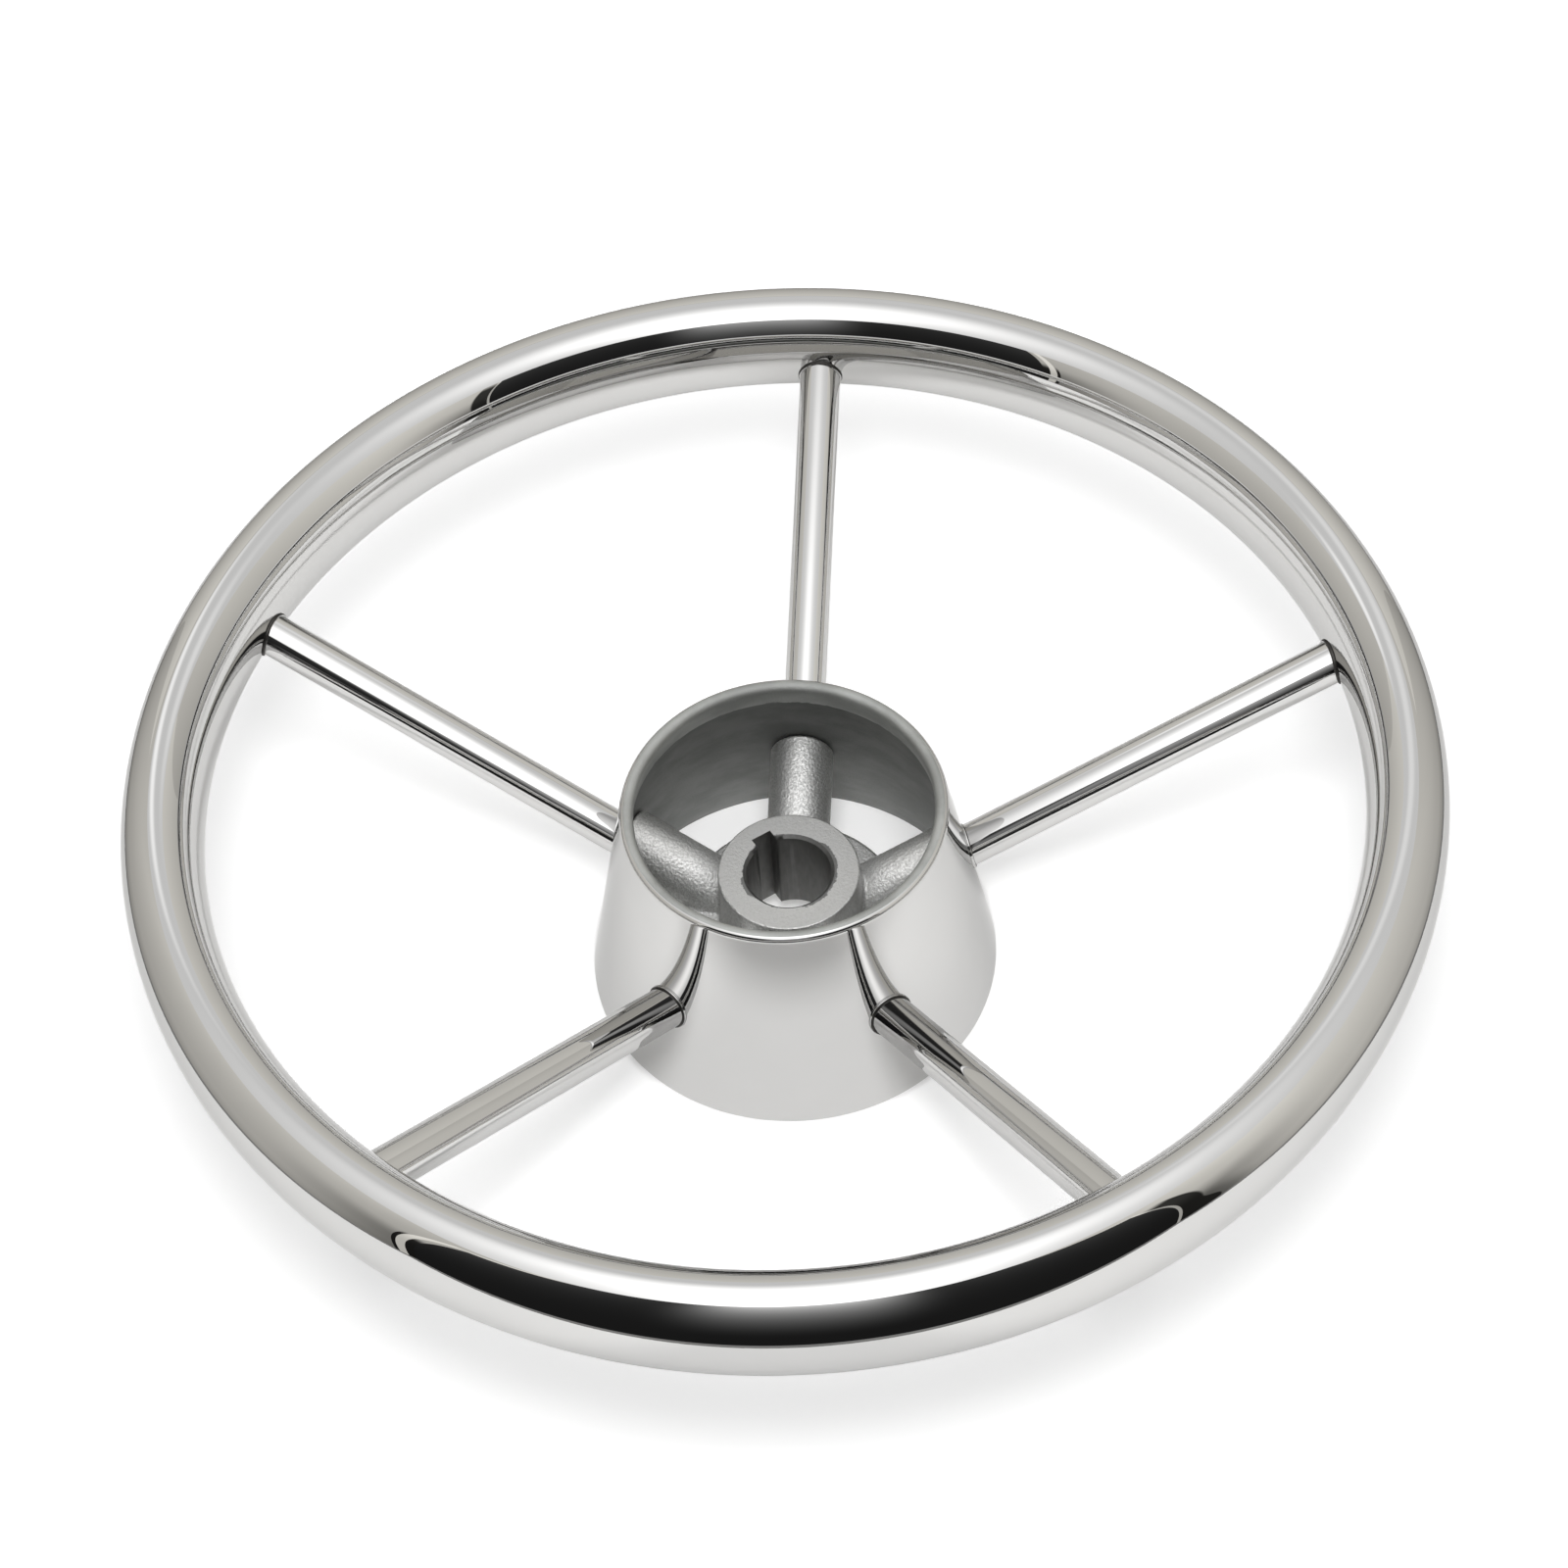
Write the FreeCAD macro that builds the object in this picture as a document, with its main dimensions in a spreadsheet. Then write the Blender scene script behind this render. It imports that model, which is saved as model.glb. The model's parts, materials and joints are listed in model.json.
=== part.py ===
"""Dished stainless boat steering wheel: a hollow oval rim, five tube spokes, a hemmed hub cone
with a cast spider inside it, and the weld beads that join them. Millimetres, +Z up the wheel's
axis, origin at the centre of the cone's foot, where the wheel meets the dash or stands."""
import FreeCAD, Part
import math
import os
import Sketcher

# Driving sizes: alias, value, what it measures
SIZES = (
    ("rim_outer_diameter", 280.0, "over the rim"),
    ("rim_section_width", 17.0, "oval rim section, across the wheel"),
    ("rim_section_depth", 26.6, "oval rim section, along the wheel's axis"),
    ("rim_wall", 1.2, "wall of the rim's tube"),
    ("rim_height", 67.4, "middle of the rim's section above the cone's foot"),
    ("spoke_diameter", 9.5, "outside of a spoke"),
    ("spoke_wall", 1.5, "wall of a spoke's tube"),
    ("spoke_rim_drop", 2.0, "a spoke's axis below the middle of the rim's section"),
    ("spoke_aim_height", 6.3, "where the spokes' axes cross the wheel's axis"),
    ("spoke_rim_entry", 3.0, "spoke end past the rim's outer face, inside the tube"),
    ("spoke_clearance", 0.1, "all round a spoke in its hole or socket"),
    ("cone_foot_diameter", 92.4, "outside of the hub cone at its foot"),
    ("cone_lip_diameter", 71.8, "outside of the hub cone level with the middle of its lip"),
    ("cone_height", 54.8, "foot to the top of the lip"),
    ("cone_wall", 1.6, "sheet thickness of the hub cone"),
    ("hem_depth", 6.2, "top of the lip to the raw edge of the turned-in hem"),
    ("boss_diameter", 31.8, "boss of the spider"),
    ("boss_top_height", 30.5, "boss face above the cone's foot"),
    ("spider_foot_height", 6.4, "underside of the spider above the cone's foot"),
    ("flange_diameter", 49.8, "disc round the lower end of the boss"),
    ("flange_top_height", 15.6, "top of that disc above the cone's foot"),
    ("arm_diameter", 14.5, "a cast arm"),
    ("arm_end_gap", 0.3, "an arm's end to the inside of the cone"),
    ("socket_depth", 15.8, "down an arm's axis from its end"),
    ("socket_floor_gap", 0.3, "spoke end to the floor of its socket"),
    ("socket_chamfer", 0.6, "at the mouth of a socket"),
    ("casting_fillet", 1.2, "inside corners of the casting and the rim of its flange"),
    ("casting_edge_radius", 0.5, "outside edges of the boss and the arms' ends"),
    ("bore_diameter", 19.05, "shaft bore, three quarters of an inch"),
    ("bore_chamfer", 0.7, "at the bore's upper mouth"),
    ("keyway_width", 4.8, "for a key of three sixteenths of an inch"),
    ("keyway_depth", 2.4, "beyond the bore's wall"),
    ("bead_leg", 0.5, "weld bead, along the spoke and along the wall"),
    ("bead_radius", 0.3, "rounding of the bead's outer edge"),
)
SPOKE_COUNT = 5
FIRST_SPOKE_AZIMUTH = 90.0
SPOKE_STEP = 360.0 / SPOKE_COUNT
KEYWAY_AZIMUTH = FIRST_SPOKE_AZIMUTH + SPOKE_STEP / 2
# Shares of a weld bead's leg: the most that its edge is rounded, and how far out that edge lies
BEAD_ROUNDING = 0.7
BEAD_OUTER = 0.8
# Two places this near are the same place
TOUCH = 0.01

# Sizes that follow from those: alias, formula, what it measures
WORKED = (
    ("rim_radius", "(Sizes.rim_outer_diameter - Sizes.rim_section_width) / 2",
     "axis to the middle of the rim's section"),
    ("dish_angle", "atan((Sizes.rim_height - Sizes.spoke_rim_drop - Sizes.spoke_aim_height) / rim_radius)",
     "rise of the spokes towards the rim, degrees"),
    ("cone_taper", "atan((Sizes.cone_foot_diameter - Sizes.cone_lip_diameter) / 2"
     " / (Sizes.cone_height - Sizes.cone_wall))", "lean of the cone's side, degrees"),
    ("spoke_hole_radius", "Sizes.spoke_diameter / 2 + Sizes.spoke_clearance",
     "hole in the rim or cone, and socket in an arm"),
    ("wall_crossing", "(Sizes.cone_foot_diameter / 2 - Sizes.spoke_aim_height * tan(cone_taper))"
     " / (cos(dish_angle) + sin(dish_angle) * tan(cone_taper))",
     "along a spoke's axis to the outside of the cone"),
    ("rim_square", "(2 * cos(dish_angle) / Sizes.rim_section_width) ^ 2"
     " + (2 * sin(dish_angle) / Sizes.rim_section_depth) ^ 2",
     "terms of the quadratic for where a spoke's axis crosses the rim's oval"),
    ("rim_linear", "4 * sin(dish_angle) * (Sizes.spoke_aim_height - Sizes.rim_height)"
     " / Sizes.rim_section_depth ^ 2"
     " - 4 * cos(dish_angle) * rim_radius / Sizes.rim_section_width ^ 2", "the same"),
    ("rim_rest", "(2 * rim_radius / Sizes.rim_section_width) ^ 2"
     " + (2 * (Sizes.rim_height - Sizes.spoke_aim_height) / Sizes.rim_section_depth) ^ 2 - 1",
     "the same"),
    ("rim_crossing", "-(rim_linear + sqrt(rim_linear ^ 2 - rim_square * rim_rest)) / rim_square",
     "along a spoke's axis to the outside of the rim's tube"),
    ("spoke_end", "rim_crossing + Sizes.spoke_rim_entry", "along its axis to a spoke's upper end"),
    ("room_radius", "Sizes.cone_foot_diameter / 2"
     " - (Sizes.cone_wall + Sizes.arm_end_gap) / cos(cone_taper)",
     "of the tapered room that the casting fills, level with the cone's foot"),
    ("arm_length", "(room_radius - Sizes.spoke_aim_height * tan(cone_taper))"
     " / (cos(dish_angle) + sin(dish_angle) * tan(cone_taper))",
     "along an arm's axis to its end"),
    ("socket_floor", "arm_length - Sizes.socket_depth", "along an arm's axis to its socket's floor"),
    ("spoke_start", "socket_floor + Sizes.socket_floor_gap", "along its axis to a spoke's lower end"),
)

doc = FreeCAD.newDocument("boat_wheel")


def filled_sheet(name, rows, sign=""):
    """A spreadsheet with one size a row: its alias, its value or formula, and what it measures."""
    sheet = doc.addObject("Spreadsheet::Sheet", name)
    for row, (alias, value, meaning) in enumerate(rows, start=1):
        sheet.set("A%d" % row, alias)
        sheet.setAlias("B%d" % row, alias)
        sheet.set("B%d" % row, sign + str(value))
        sheet.set("C%d" % row, meaning)
        doc.recompute()
    return sheet


sizes = filled_sheet("Sizes", SIZES)
worked = filled_sheet("Worked", WORKED, sign="=")


def size(alias, sheet=sizes):
    value = sheet.get(alias)
    return float(getattr(value, "Value", value))


def place(alias):
    return size(alias, worked)


def bound(kind, name, **expressions):
    """A new object of the document whose properties follow the sheets."""
    thing = doc.addObject(kind, name)
    for property_name, expression in expressions.items():
        thing.setExpression(property_name, expression)
    return thing


def cut(name, base, tool):
    result = doc.addObject("Part::Cut", name)
    result.Base = base
    result.Tool = tool
    return result


def fused(name, pieces):
    result = doc.addObject("Part::MultiFuse", name)
    result.Shapes = pieces
    return result


def common(name, base, tool):
    result = doc.addObject("Part::Common", name)
    result.Base = base
    result.Tool = tool
    return result


def midpoint(edge):
    return edge.valueAt((edge.FirstParameter + edge.LastParameter) / 2)


def rounded(name, base, amount, wanted, kind="Part::Fillet"):
    """A fillet, or a chamfer, on the edges of `base` that `wanted` picks."""
    doc.recompute()
    numbers = [n for n, edge in enumerate(base.Shape.Edges, start=1) if wanted(edge)]
    result = doc.addObject(kind, name)
    result.Base = base
    result.Edges = [(number, amount, amount) for number in numbers]
    return result


# Directions of the spokes
def spoke_frame(number, start=0.0):
    """Local Z out along a spoke's axis, from `start` past the point where the axes meet."""
    turn = FreeCAD.Rotation(FreeCAD.Vector(0, 0, 1), FIRST_SPOKE_AZIMUTH + number * SPOKE_STEP)
    lean = FreeCAD.Rotation(FreeCAD.Vector(0, 1, 0), 90.0 - place("dish_angle"))
    rotation = turn.multiply(lean)
    along = rotation.multVec(FreeCAD.Vector(0, 0, start))
    return FreeCAD.Placement(FreeCAD.Vector(0, 0, size("spoke_aim_height")) + along, rotation)


def rod(name, number, radius, start, length):
    """A cylinder on a spoke's axis."""
    cylinder = bound("Part::Cylinder", name, Radius=radius, Height=length)
    cylinder.Placement = spoke_frame(number, start)
    return cylinder


def rods(name, radius, start, length):
    """One such cylinder for each spoke, as one tool."""
    return fused(name, [rod("%s%d" % (name, number + 1), number, radius, start, length)
                        for number in range(SPOKE_COUNT)])


# Sketches: across is the distance from the axis, up is the height
def constrain(sketch, *terms, to=None):
    """Adds a constraint, and ties its value to an expression when one is given."""
    index = sketch.addConstraint(Sketcher.Constraint(*terms))
    if to:
        sketch.setExpression("Constraints[%d]" % index, to)


def section_sketch(body, name):
    sketch = body.newObject("Sketcher::SketchObject", name)
    plane = [feature for feature in body.Origin.OriginFeatures if feature.Role == "XZ_Plane"][0]
    sketch.AttachmentSupport = [(plane, "")]
    sketch.MapMode = "FlatFace"
    return sketch


def turned(body, sketch, name):
    turn = body.newObject("PartDesign::Revolution", name)
    turn.Profile = sketch
    turn.ReferenceAxis = (sketch, ["V_Axis"])
    turn.Angle = 360.0
    sketch.Visibility = False


def outline(sketch, corners):
    """A closed outline of straight lines through the corners, in order."""
    lines = []
    for here, there in zip(corners, corners[1:] + corners[:1]):
        lines.append(sketch.addGeometry(Part.LineSegment(here, there), False))
    for line, following in zip(lines, lines[1:] + lines[:1]):
        constrain(sketch, "Coincident", line, 2, following, 1)
    return lines


# Rim: an oval tube turned into a ring, with a hole in its inner wall for each spoke
def oval(sketch, width, depth):
    centre = FreeCAD.Vector(place("rim_radius"), size("rim_height"), 0)
    up = FreeCAD.Vector(0, size("rim_section_depth") / 2, 0)
    out = FreeCAD.Vector(size("rim_section_width") / 2, 0, 0)
    curve = sketch.addGeometry(Part.Ellipse(centre + up, centre + out, centre), False)
    sketch.exposeInternalGeometry(curve)
    long_axis = curve + 1
    short_axis = curve + 2
    constrain(sketch, "Vertical", long_axis)
    constrain(sketch, "Distance", long_axis, 2 * up.Length, to=depth)
    constrain(sketch, "Distance", short_axis, 2 * out.Length, to=width)
    constrain(sketch, "DistanceX", -1, 1, curve, 3, centre.x, to="Worked.rim_radius")
    constrain(sketch, "DistanceY", -1, 1, curve, 3, centre.y, to="Sizes.rim_height")


rim_ring = doc.addObject("PartDesign::Body", "RimRing")
rim_section = section_sketch(rim_ring, "RimSection")
oval(rim_section, "Sizes.rim_section_width", "Sizes.rim_section_depth")
oval(rim_section, "Sizes.rim_section_width - 2 * Sizes.rim_wall",
     "Sizes.rim_section_depth - 2 * Sizes.rim_wall")
turned(rim_ring, rim_section, "RimTurn")
rim_holes = rods("RimHole", "Worked.spoke_hole_radius",
                 place("rim_crossing") - size("rim_section_width") / 2, "Sizes.rim_section_width")
rim = cut("RimTube", rim_ring, rim_holes)
rim.Label = "rim_tube"

# Spokes: plain tubes, square at both ends
spokes = []
for number in range(SPOKE_COUNT):
    length = "Worked.spoke_end - Worked.spoke_start"
    outside = rod("SpokeOutside%d" % (number + 1), number, "Sizes.spoke_diameter / 2",
                  place("spoke_start"), length)
    inside = rod("SpokeInside%d" % (number + 1), number,
                 "Sizes.spoke_diameter / 2 - Sizes.spoke_wall", place("spoke_start"), length)
    spoke = cut("Spoke%d" % (number + 1), outside, inside)
    spoke.Label = "spoke_%d" % (number + 1)
    spokes.append(spoke)

# Hub cone: one sheet, spun to a taper, its small end rolled over and turned in as a hem
cone_shell = doc.addObject("PartDesign::Body", "ConeShell")
cone_section = section_sketch(cone_shell, "ConeSection")


def cone_outline(sketch):
    taper = math.radians(place("cone_taper"))
    sheet_wall = size("cone_wall")
    up = FreeCAD.Vector(-math.sin(taper), math.cos(taper), 0)
    inward = FreeCAD.Vector(-math.cos(taper), -math.sin(taper), 0)
    foot_outside = FreeCAD.Vector(size("cone_foot_diameter") / 2, 0, 0)
    lip_height = size("cone_height") - sheet_wall
    lip_outside = foot_outside + up * (lip_height / math.cos(taper) + sheet_wall * math.tan(taper))
    lip_centre = lip_outside + inward * sheet_wall
    leaf_top = lip_centre + inward * sheet_wall
    leaf_end = leaf_top - up * (size("hem_depth") - sheet_wall)
    edge_end = leaf_end - inward * sheet_wall
    foot_inside = foot_outside - FreeCAD.Vector(sheet_wall / math.cos(taper), 0, 0)
    outside = sketch.addGeometry(Part.LineSegment(foot_outside, lip_outside), False)
    roll = Part.Circle(lip_centre, FreeCAD.Vector(0, 0, 1), sheet_wall)
    lip = sketch.addGeometry(Part.ArcOfCircle(roll, taper, taper + math.pi), False)
    leaf = sketch.addGeometry(Part.LineSegment(leaf_top, leaf_end), False)
    edge = sketch.addGeometry(Part.LineSegment(leaf_end, edge_end), False)
    inside = sketch.addGeometry(Part.LineSegment(edge_end, foot_inside), False)
    foot = sketch.addGeometry(Part.LineSegment(foot_inside, foot_outside), False)
    constrain(sketch, "Tangent", outside, 2, lip, 1)
    constrain(sketch, "Tangent", lip, 2, leaf, 1)
    for line, following in ((leaf, edge), (edge, inside), (inside, foot), (foot, outside)):
        constrain(sketch, "Coincident", line, 2, following, 1)
    constrain(sketch, "PointOnObject", foot, 1, -1)
    constrain(sketch, "PointOnObject", foot, 2, -1)
    constrain(sketch, "Parallel", leaf, outside)
    constrain(sketch, "Parallel", inside, outside)
    constrain(sketch, "Perpendicular", edge, outside)
    constrain(sketch, "DistanceX", -1, 1, outside, 1, foot_outside.x, to="Sizes.cone_foot_diameter / 2")
    constrain(sketch, "Angle", -1, 1, outside, 1, math.pi / 2 + taper, to="90deg + Worked.cone_taper")
    constrain(sketch, "Radius", lip, sheet_wall, to="Sizes.cone_wall")
    constrain(sketch, "DistanceY", -1, 1, lip, 3, lip_height, to="Sizes.cone_height - Sizes.cone_wall")
    constrain(sketch, "Distance", leaf, (leaf_end - leaf_top).Length,
              to="Sizes.hem_depth - Sizes.cone_wall")
    constrain(sketch, "Distance", inside, 1, outside, sheet_wall, to="Sizes.cone_wall")


cone_outline(cone_section)
turned(cone_shell, cone_section, "ConeTurn")
cone_holes = rods("ConeHole", "Worked.spoke_hole_radius",
                  place("wall_crossing") - size("spoke_diameter"), "2 * Sizes.spoke_diameter")
cone = cut("HubCone", cone_shell, cone_holes)
cone.Label = "hub_cone"

# Spider: a stepped boss and five arms, cast in one, the arms' ends turned to the cone's taper
spider_hub = doc.addObject("PartDesign::Body", "SpiderHub")
hub_section = section_sketch(spider_hub, "SpiderHubSection")


def hub_outline(sketch):
    heights = ("spider_foot_height", "flange_top_height", "boss_top_height")
    foot, step, top = [size(name) for name in heights]
    boss = size("boss_diameter") / 2
    flange = size("flange_diameter") / 2
    corners = [(0, foot), (flange, foot), (flange, step), (boss, step), (boss, top), (0, top)]
    lines = outline(sketch, [FreeCAD.Vector(across, up, 0) for across, up in corners])
    underside, flange_side, flange_top, boss_side, boss_top, middle = lines
    for level in (underside, flange_top, boss_top):
        constrain(sketch, "Horizontal", level)
    for upright in (flange_side, boss_side, middle):
        constrain(sketch, "Vertical", upright)
    constrain(sketch, "PointOnObject", underside, 1, -2)
    constrain(sketch, "DistanceX", -1, 1, flange_side, 1, flange, to="Sizes.flange_diameter / 2")
    constrain(sketch, "DistanceX", -1, 1, boss_side, 1, boss, to="Sizes.boss_diameter / 2")
    constrain(sketch, "DistanceY", -1, 1, underside, 1, foot, to="Sizes.spider_foot_height")
    constrain(sketch, "DistanceY", -1, 1, flange_top, 1, step, to="Sizes.flange_top_height")
    constrain(sketch, "DistanceY", -1, 1, boss_top, 1, top, to="Sizes.boss_top_height")


def on_flange_top(edge):
    """The inside corner at the boss, or the rim of the flange."""
    level = abs(midpoint(edge).z - size("flange_top_height")) < TOUCH
    return level and abs(edge.BoundBox.ZLength) < TOUCH


hub_outline(hub_section)
turned(spider_hub, hub_section, "SpiderHubTurn")
doc.recompute()
hub_turn = spider_hub.Tip
hub_rounding = spider_hub.newObject("PartDesign::Fillet", "SpiderHubRounding")
hub_rounding.Base = (hub_turn, ["Edge%d" % n for n, edge in enumerate(hub_turn.Shape.Edges, start=1)
                                if on_flange_top(edge)])
hub_rounding.setExpression("Radius", "Sizes.casting_fillet")
arms = [rod("Arm%d" % (number + 1), number, "Sizes.arm_diameter / 2", 0.0,
            "Worked.arm_length + Sizes.arm_diameter") for number in range(SPOKE_COUNT)]
casting = fused("CastingRough", [spider_hub] + arms)
room = bound("Part::Cone", "CastingRoom", Height="Sizes.cone_height - Sizes.spider_foot_height",
             Radius1="Worked.room_radius - Sizes.spider_foot_height * tan(Worked.cone_taper)",
             Radius2="Worked.room_radius - Sizes.cone_height * tan(Worked.cone_taper)")
room.Placement.Base.z = size("spider_foot_height")
blank = common("CastingBlank", casting, room)


def distance_to_arm(point):
    """Least distance from a point to the axis of an arm."""
    offsets = []
    for number in range(SPOKE_COUNT):
        frame = spoke_frame(number)
        axis = frame.Rotation.multVec(FreeCAD.Vector(0, 0, 1))
        offsets.append((point - frame.Base).cross(axis).Length)
    return min(offsets)


def on_room_side(point):
    """On the taper that the arms' ends are turned to."""
    taper = math.radians(place("cone_taper"))
    return abs(math.hypot(point.x, point.y) + point.z * math.tan(taper) - place("room_radius")) < TOUCH


def at_root(edge):
    """Where an arm leaves the boss or the flange."""
    point = midpoint(edge)
    beside_arm = abs(distance_to_arm(point) - size("arm_diameter") / 2) < TOUCH
    on_hub = math.hypot(point.x, point.y) < size("flange_diameter") / 2 + TOUCH
    return beside_arm and on_hub and point.z > size("spider_foot_height") + TOUCH


def at_end(edge):
    """Round the end of an arm, or round the boss's face."""
    point = midpoint(edge)
    return on_room_side(point) or abs(point.z - size("boss_top_height")) < TOUCH


def at_mouth(edge):
    """Round a socket, where it opens in an arm's end."""
    point = midpoint(edge)
    return on_room_side(point) and abs(distance_to_arm(point) - place("spoke_hole_radius")) < TOUCH


rooted = rounded("CastingRoots", blank, size("casting_fillet"), at_root)
softened = rounded("CastingEnds", rooted, size("casting_edge_radius"), at_end)

sockets = rods("Socket", "Worked.spoke_hole_radius", place("socket_floor"),
               "Sizes.socket_depth + Sizes.spoke_diameter")
bore = bound("Part::Cylinder", "Bore", Radius="Sizes.bore_diameter / 2", Height="Sizes.cone_height")
bore_mouth = bound("Part::Cone", "BoreMouth", Radius1="Sizes.bore_diameter / 2",
                   Radius2="Sizes.bore_diameter / 2 + Sizes.bore_chamfer",
                   Height="Sizes.bore_chamfer")
bore_mouth.Placement.Base.z = size("boss_top_height") - size("bore_chamfer")
keyway = bound("Part::Box", "Keyway", Length="Sizes.bore_diameter / 2 + Sizes.keyway_depth",
               Width="Sizes.keyway_width", Height="Sizes.cone_height")
across_key = FreeCAD.Rotation(FreeCAD.Vector(0, 0, 1), KEYWAY_AZIMUTH)
keyway.Placement = FreeCAD.Placement(
    across_key.multVec(FreeCAD.Vector(0, -size("keyway_width") / 2, 0)), across_key)
machining = fused("Machining", [sockets, bore, bore_mouth, keyway])
machined = cut("CastingMachined", softened, machining)
spider = rounded("HubSpider", machined, size("socket_chamfer"), at_mouth, "Part::Chamfer")
spider.Label = "hub_spider"


# Weld beads: a collar round each spoke where it enters the rim or leaves the cone
def beads(name, wall, grown_wall, start):
    """One leg along the spoke and one along the wall, rounded at the outer edge, five alike."""
    length = "4 * Sizes.bead_leg + Sizes.spoke_diameter"
    outer = rod(name + "Outer", 0, "Sizes.spoke_diameter / 2 + Sizes.bead_leg", start, length)
    inner = rod(name + "Inner", 0, "Sizes.spoke_diameter / 2", start, length)
    collar = cut(name + "Collar", outer, inner)
    square = cut(name + "Square", common(name + "Skin", collar, grown_wall), wall)

    def outer_edge(edge):
        point = midpoint(edge)
        off_spoke = distance_to_arm(point) - size("spoke_diameter") / 2
        off_wall = Part.Vertex(point).distToShape(wall.Shape)[0]
        return min(off_spoke, off_wall) > BEAD_OUTER * size("bead_leg")

    radius = min(size("bead_radius"), BEAD_ROUNDING * size("bead_leg"))
    bead = rounded(name + "First", square, radius, outer_edge)
    doc.recompute()
    copies = []
    for number in range(SPOKE_COUNT):
        copy = bead.Shape.copy()
        copy.rotate(FreeCAD.Vector(), FreeCAD.Vector(0, 0, 1), number * SPOKE_STEP)
        copies.append(copy)
    group = doc.addObject("Part::Feature", name)
    group.Shape = Part.makeCompound(copies)
    return group


def oval_ring(name, grow):
    """The rim as a solid, its section grown by an expression all round."""
    section = bound("Part::Ellipse", name + "Section",
                    MajorRadius="Sizes.rim_section_depth / 2" + grow,
                    MinorRadius="Sizes.rim_section_width / 2" + grow)
    upright = FreeCAD.Rotation(FreeCAD.Vector(0, 0, 1), FreeCAD.Vector(1, 0, 0),
                               FreeCAD.Vector(0, 1, 0), "XYZ")
    centre = FreeCAD.Vector(place("rim_radius"), 0, size("rim_height"))
    section.Placement = FreeCAD.Placement(centre, upright)
    ring = doc.addObject("Part::Revolution", name)
    ring.Source = section
    ring.Axis = FreeCAD.Vector(0, 0, 1)
    ring.Angle = 360.0
    ring.Solid = True
    return ring


def solid_cone(name, grow):
    """The cone filled in, its side moved out by an expression."""
    foot = "Sizes.cone_foot_diameter / 2 + (%s) / cos(Worked.cone_taper)" % grow
    return bound("Part::Cone", name, Height="Sizes.cone_height", Radius1=foot,
                 Radius2=foot + " - Sizes.cone_height * tan(Worked.cone_taper)")


reach = size("spoke_diameter") / 2 + 2 * size("bead_leg")
rim_beads = beads("RimBeads", oval_ring("RimSolid", ""),
                  oval_ring("RimGrown", " + Sizes.bead_leg"), place("rim_crossing") - reach)
rim_beads.Label = "rim_weld_beads"
hub_beads = beads("HubBeads", solid_cone("ConeSolid", "0"),
                  solid_cone("ConeGrown", "Sizes.bead_leg"), place("wall_crossing") - reach)
hub_beads.Label = "hub_weld_beads"

# Check every object, then write one file for each sub-part
doc.recompute()
for thing in doc.Objects:
    if set(thing.State) & {"Invalid", "Error"}:
        raise RuntimeError("%s did not build" % thing.Name)
nodes = [rim] + spokes + [cone, spider, rim_beads, hub_beads]
for node in nodes:
    if node.Shape.isNull() or not node.Shape.isValid():
        raise RuntimeError("%s has no valid shape" % node.Label)
os.makedirs("parts", exist_ok=True)
for node in nodes:
    node.Shape.exportStep("parts/%s.step" % node.Label)
    print("%-16s solids %d  volume %.1f mm3" % (node.Label, len(node.Shape.Solids), node.Shape.Volume))
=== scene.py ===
"""Surfaces, finishes and studio for a dished stainless boat wheel: an oval rim, five tube spokes, a
hemmed hub cone and the casting inside it. Metres, +Z up the wheel's axis, origin at the cone's foot."""
import json
import math
import bpy
from bpy.props import FloatProperty, FloatVectorProperty, PointerProperty
from mathutils import Matrix, Vector


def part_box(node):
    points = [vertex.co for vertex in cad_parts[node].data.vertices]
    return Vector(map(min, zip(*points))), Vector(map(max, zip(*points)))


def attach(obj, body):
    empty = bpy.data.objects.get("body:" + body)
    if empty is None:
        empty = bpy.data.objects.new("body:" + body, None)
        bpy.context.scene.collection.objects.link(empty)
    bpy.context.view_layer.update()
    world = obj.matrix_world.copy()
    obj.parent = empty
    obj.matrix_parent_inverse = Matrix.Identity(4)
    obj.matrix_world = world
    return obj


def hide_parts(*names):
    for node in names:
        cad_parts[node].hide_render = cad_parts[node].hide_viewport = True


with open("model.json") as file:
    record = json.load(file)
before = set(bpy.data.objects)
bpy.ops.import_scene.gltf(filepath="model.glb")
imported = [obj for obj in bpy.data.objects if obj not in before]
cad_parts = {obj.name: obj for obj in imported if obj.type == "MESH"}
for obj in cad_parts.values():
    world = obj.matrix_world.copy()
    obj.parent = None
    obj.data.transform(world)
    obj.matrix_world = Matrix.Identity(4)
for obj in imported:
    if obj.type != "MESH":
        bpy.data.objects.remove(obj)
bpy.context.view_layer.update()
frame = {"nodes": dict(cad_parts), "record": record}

bl_info = {
    "name": "Dished Boat Wheel",
    "version": (1, 0, 0),
    "blender": (4, 5, 0),
    "location": "3D View > Sidebar > Boat Wheel",
    "description": "Models the polished surfaces of a dished stainless boat wheel and its studio",
    "category": "Add Mesh",
}

BODY = "root"
SPOKE_COUNT = 5
FIRST_SPOKE = math.radians(90)

RIM_LOW, RIM_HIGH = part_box("rim_tube")
CONE_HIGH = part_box("hub_cone")[1]
BOSS_FACE = next(mount for mount in frame["record"]["mounts"] if mount["name"] == "nut_face")["pos_m"][2]

# The rim's section, how far below its middle the spokes' axes meet it, and where they cross the wheel's
RIM_WIDTH = 0.017
RIM_MIDDLE = (RIM_HIGH.z + RIM_LOW.z) / 2
SPOKE_DROP = 0.002
SPOKE_AIM = 0.0063

# How finely the round pieces are divided
RIM_SEGMENTS = 480
RIM_SECTION_SEGMENTS = 96
SPOKE_SEGMENTS = 192
CONE_SEGMENTS = 256


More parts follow.
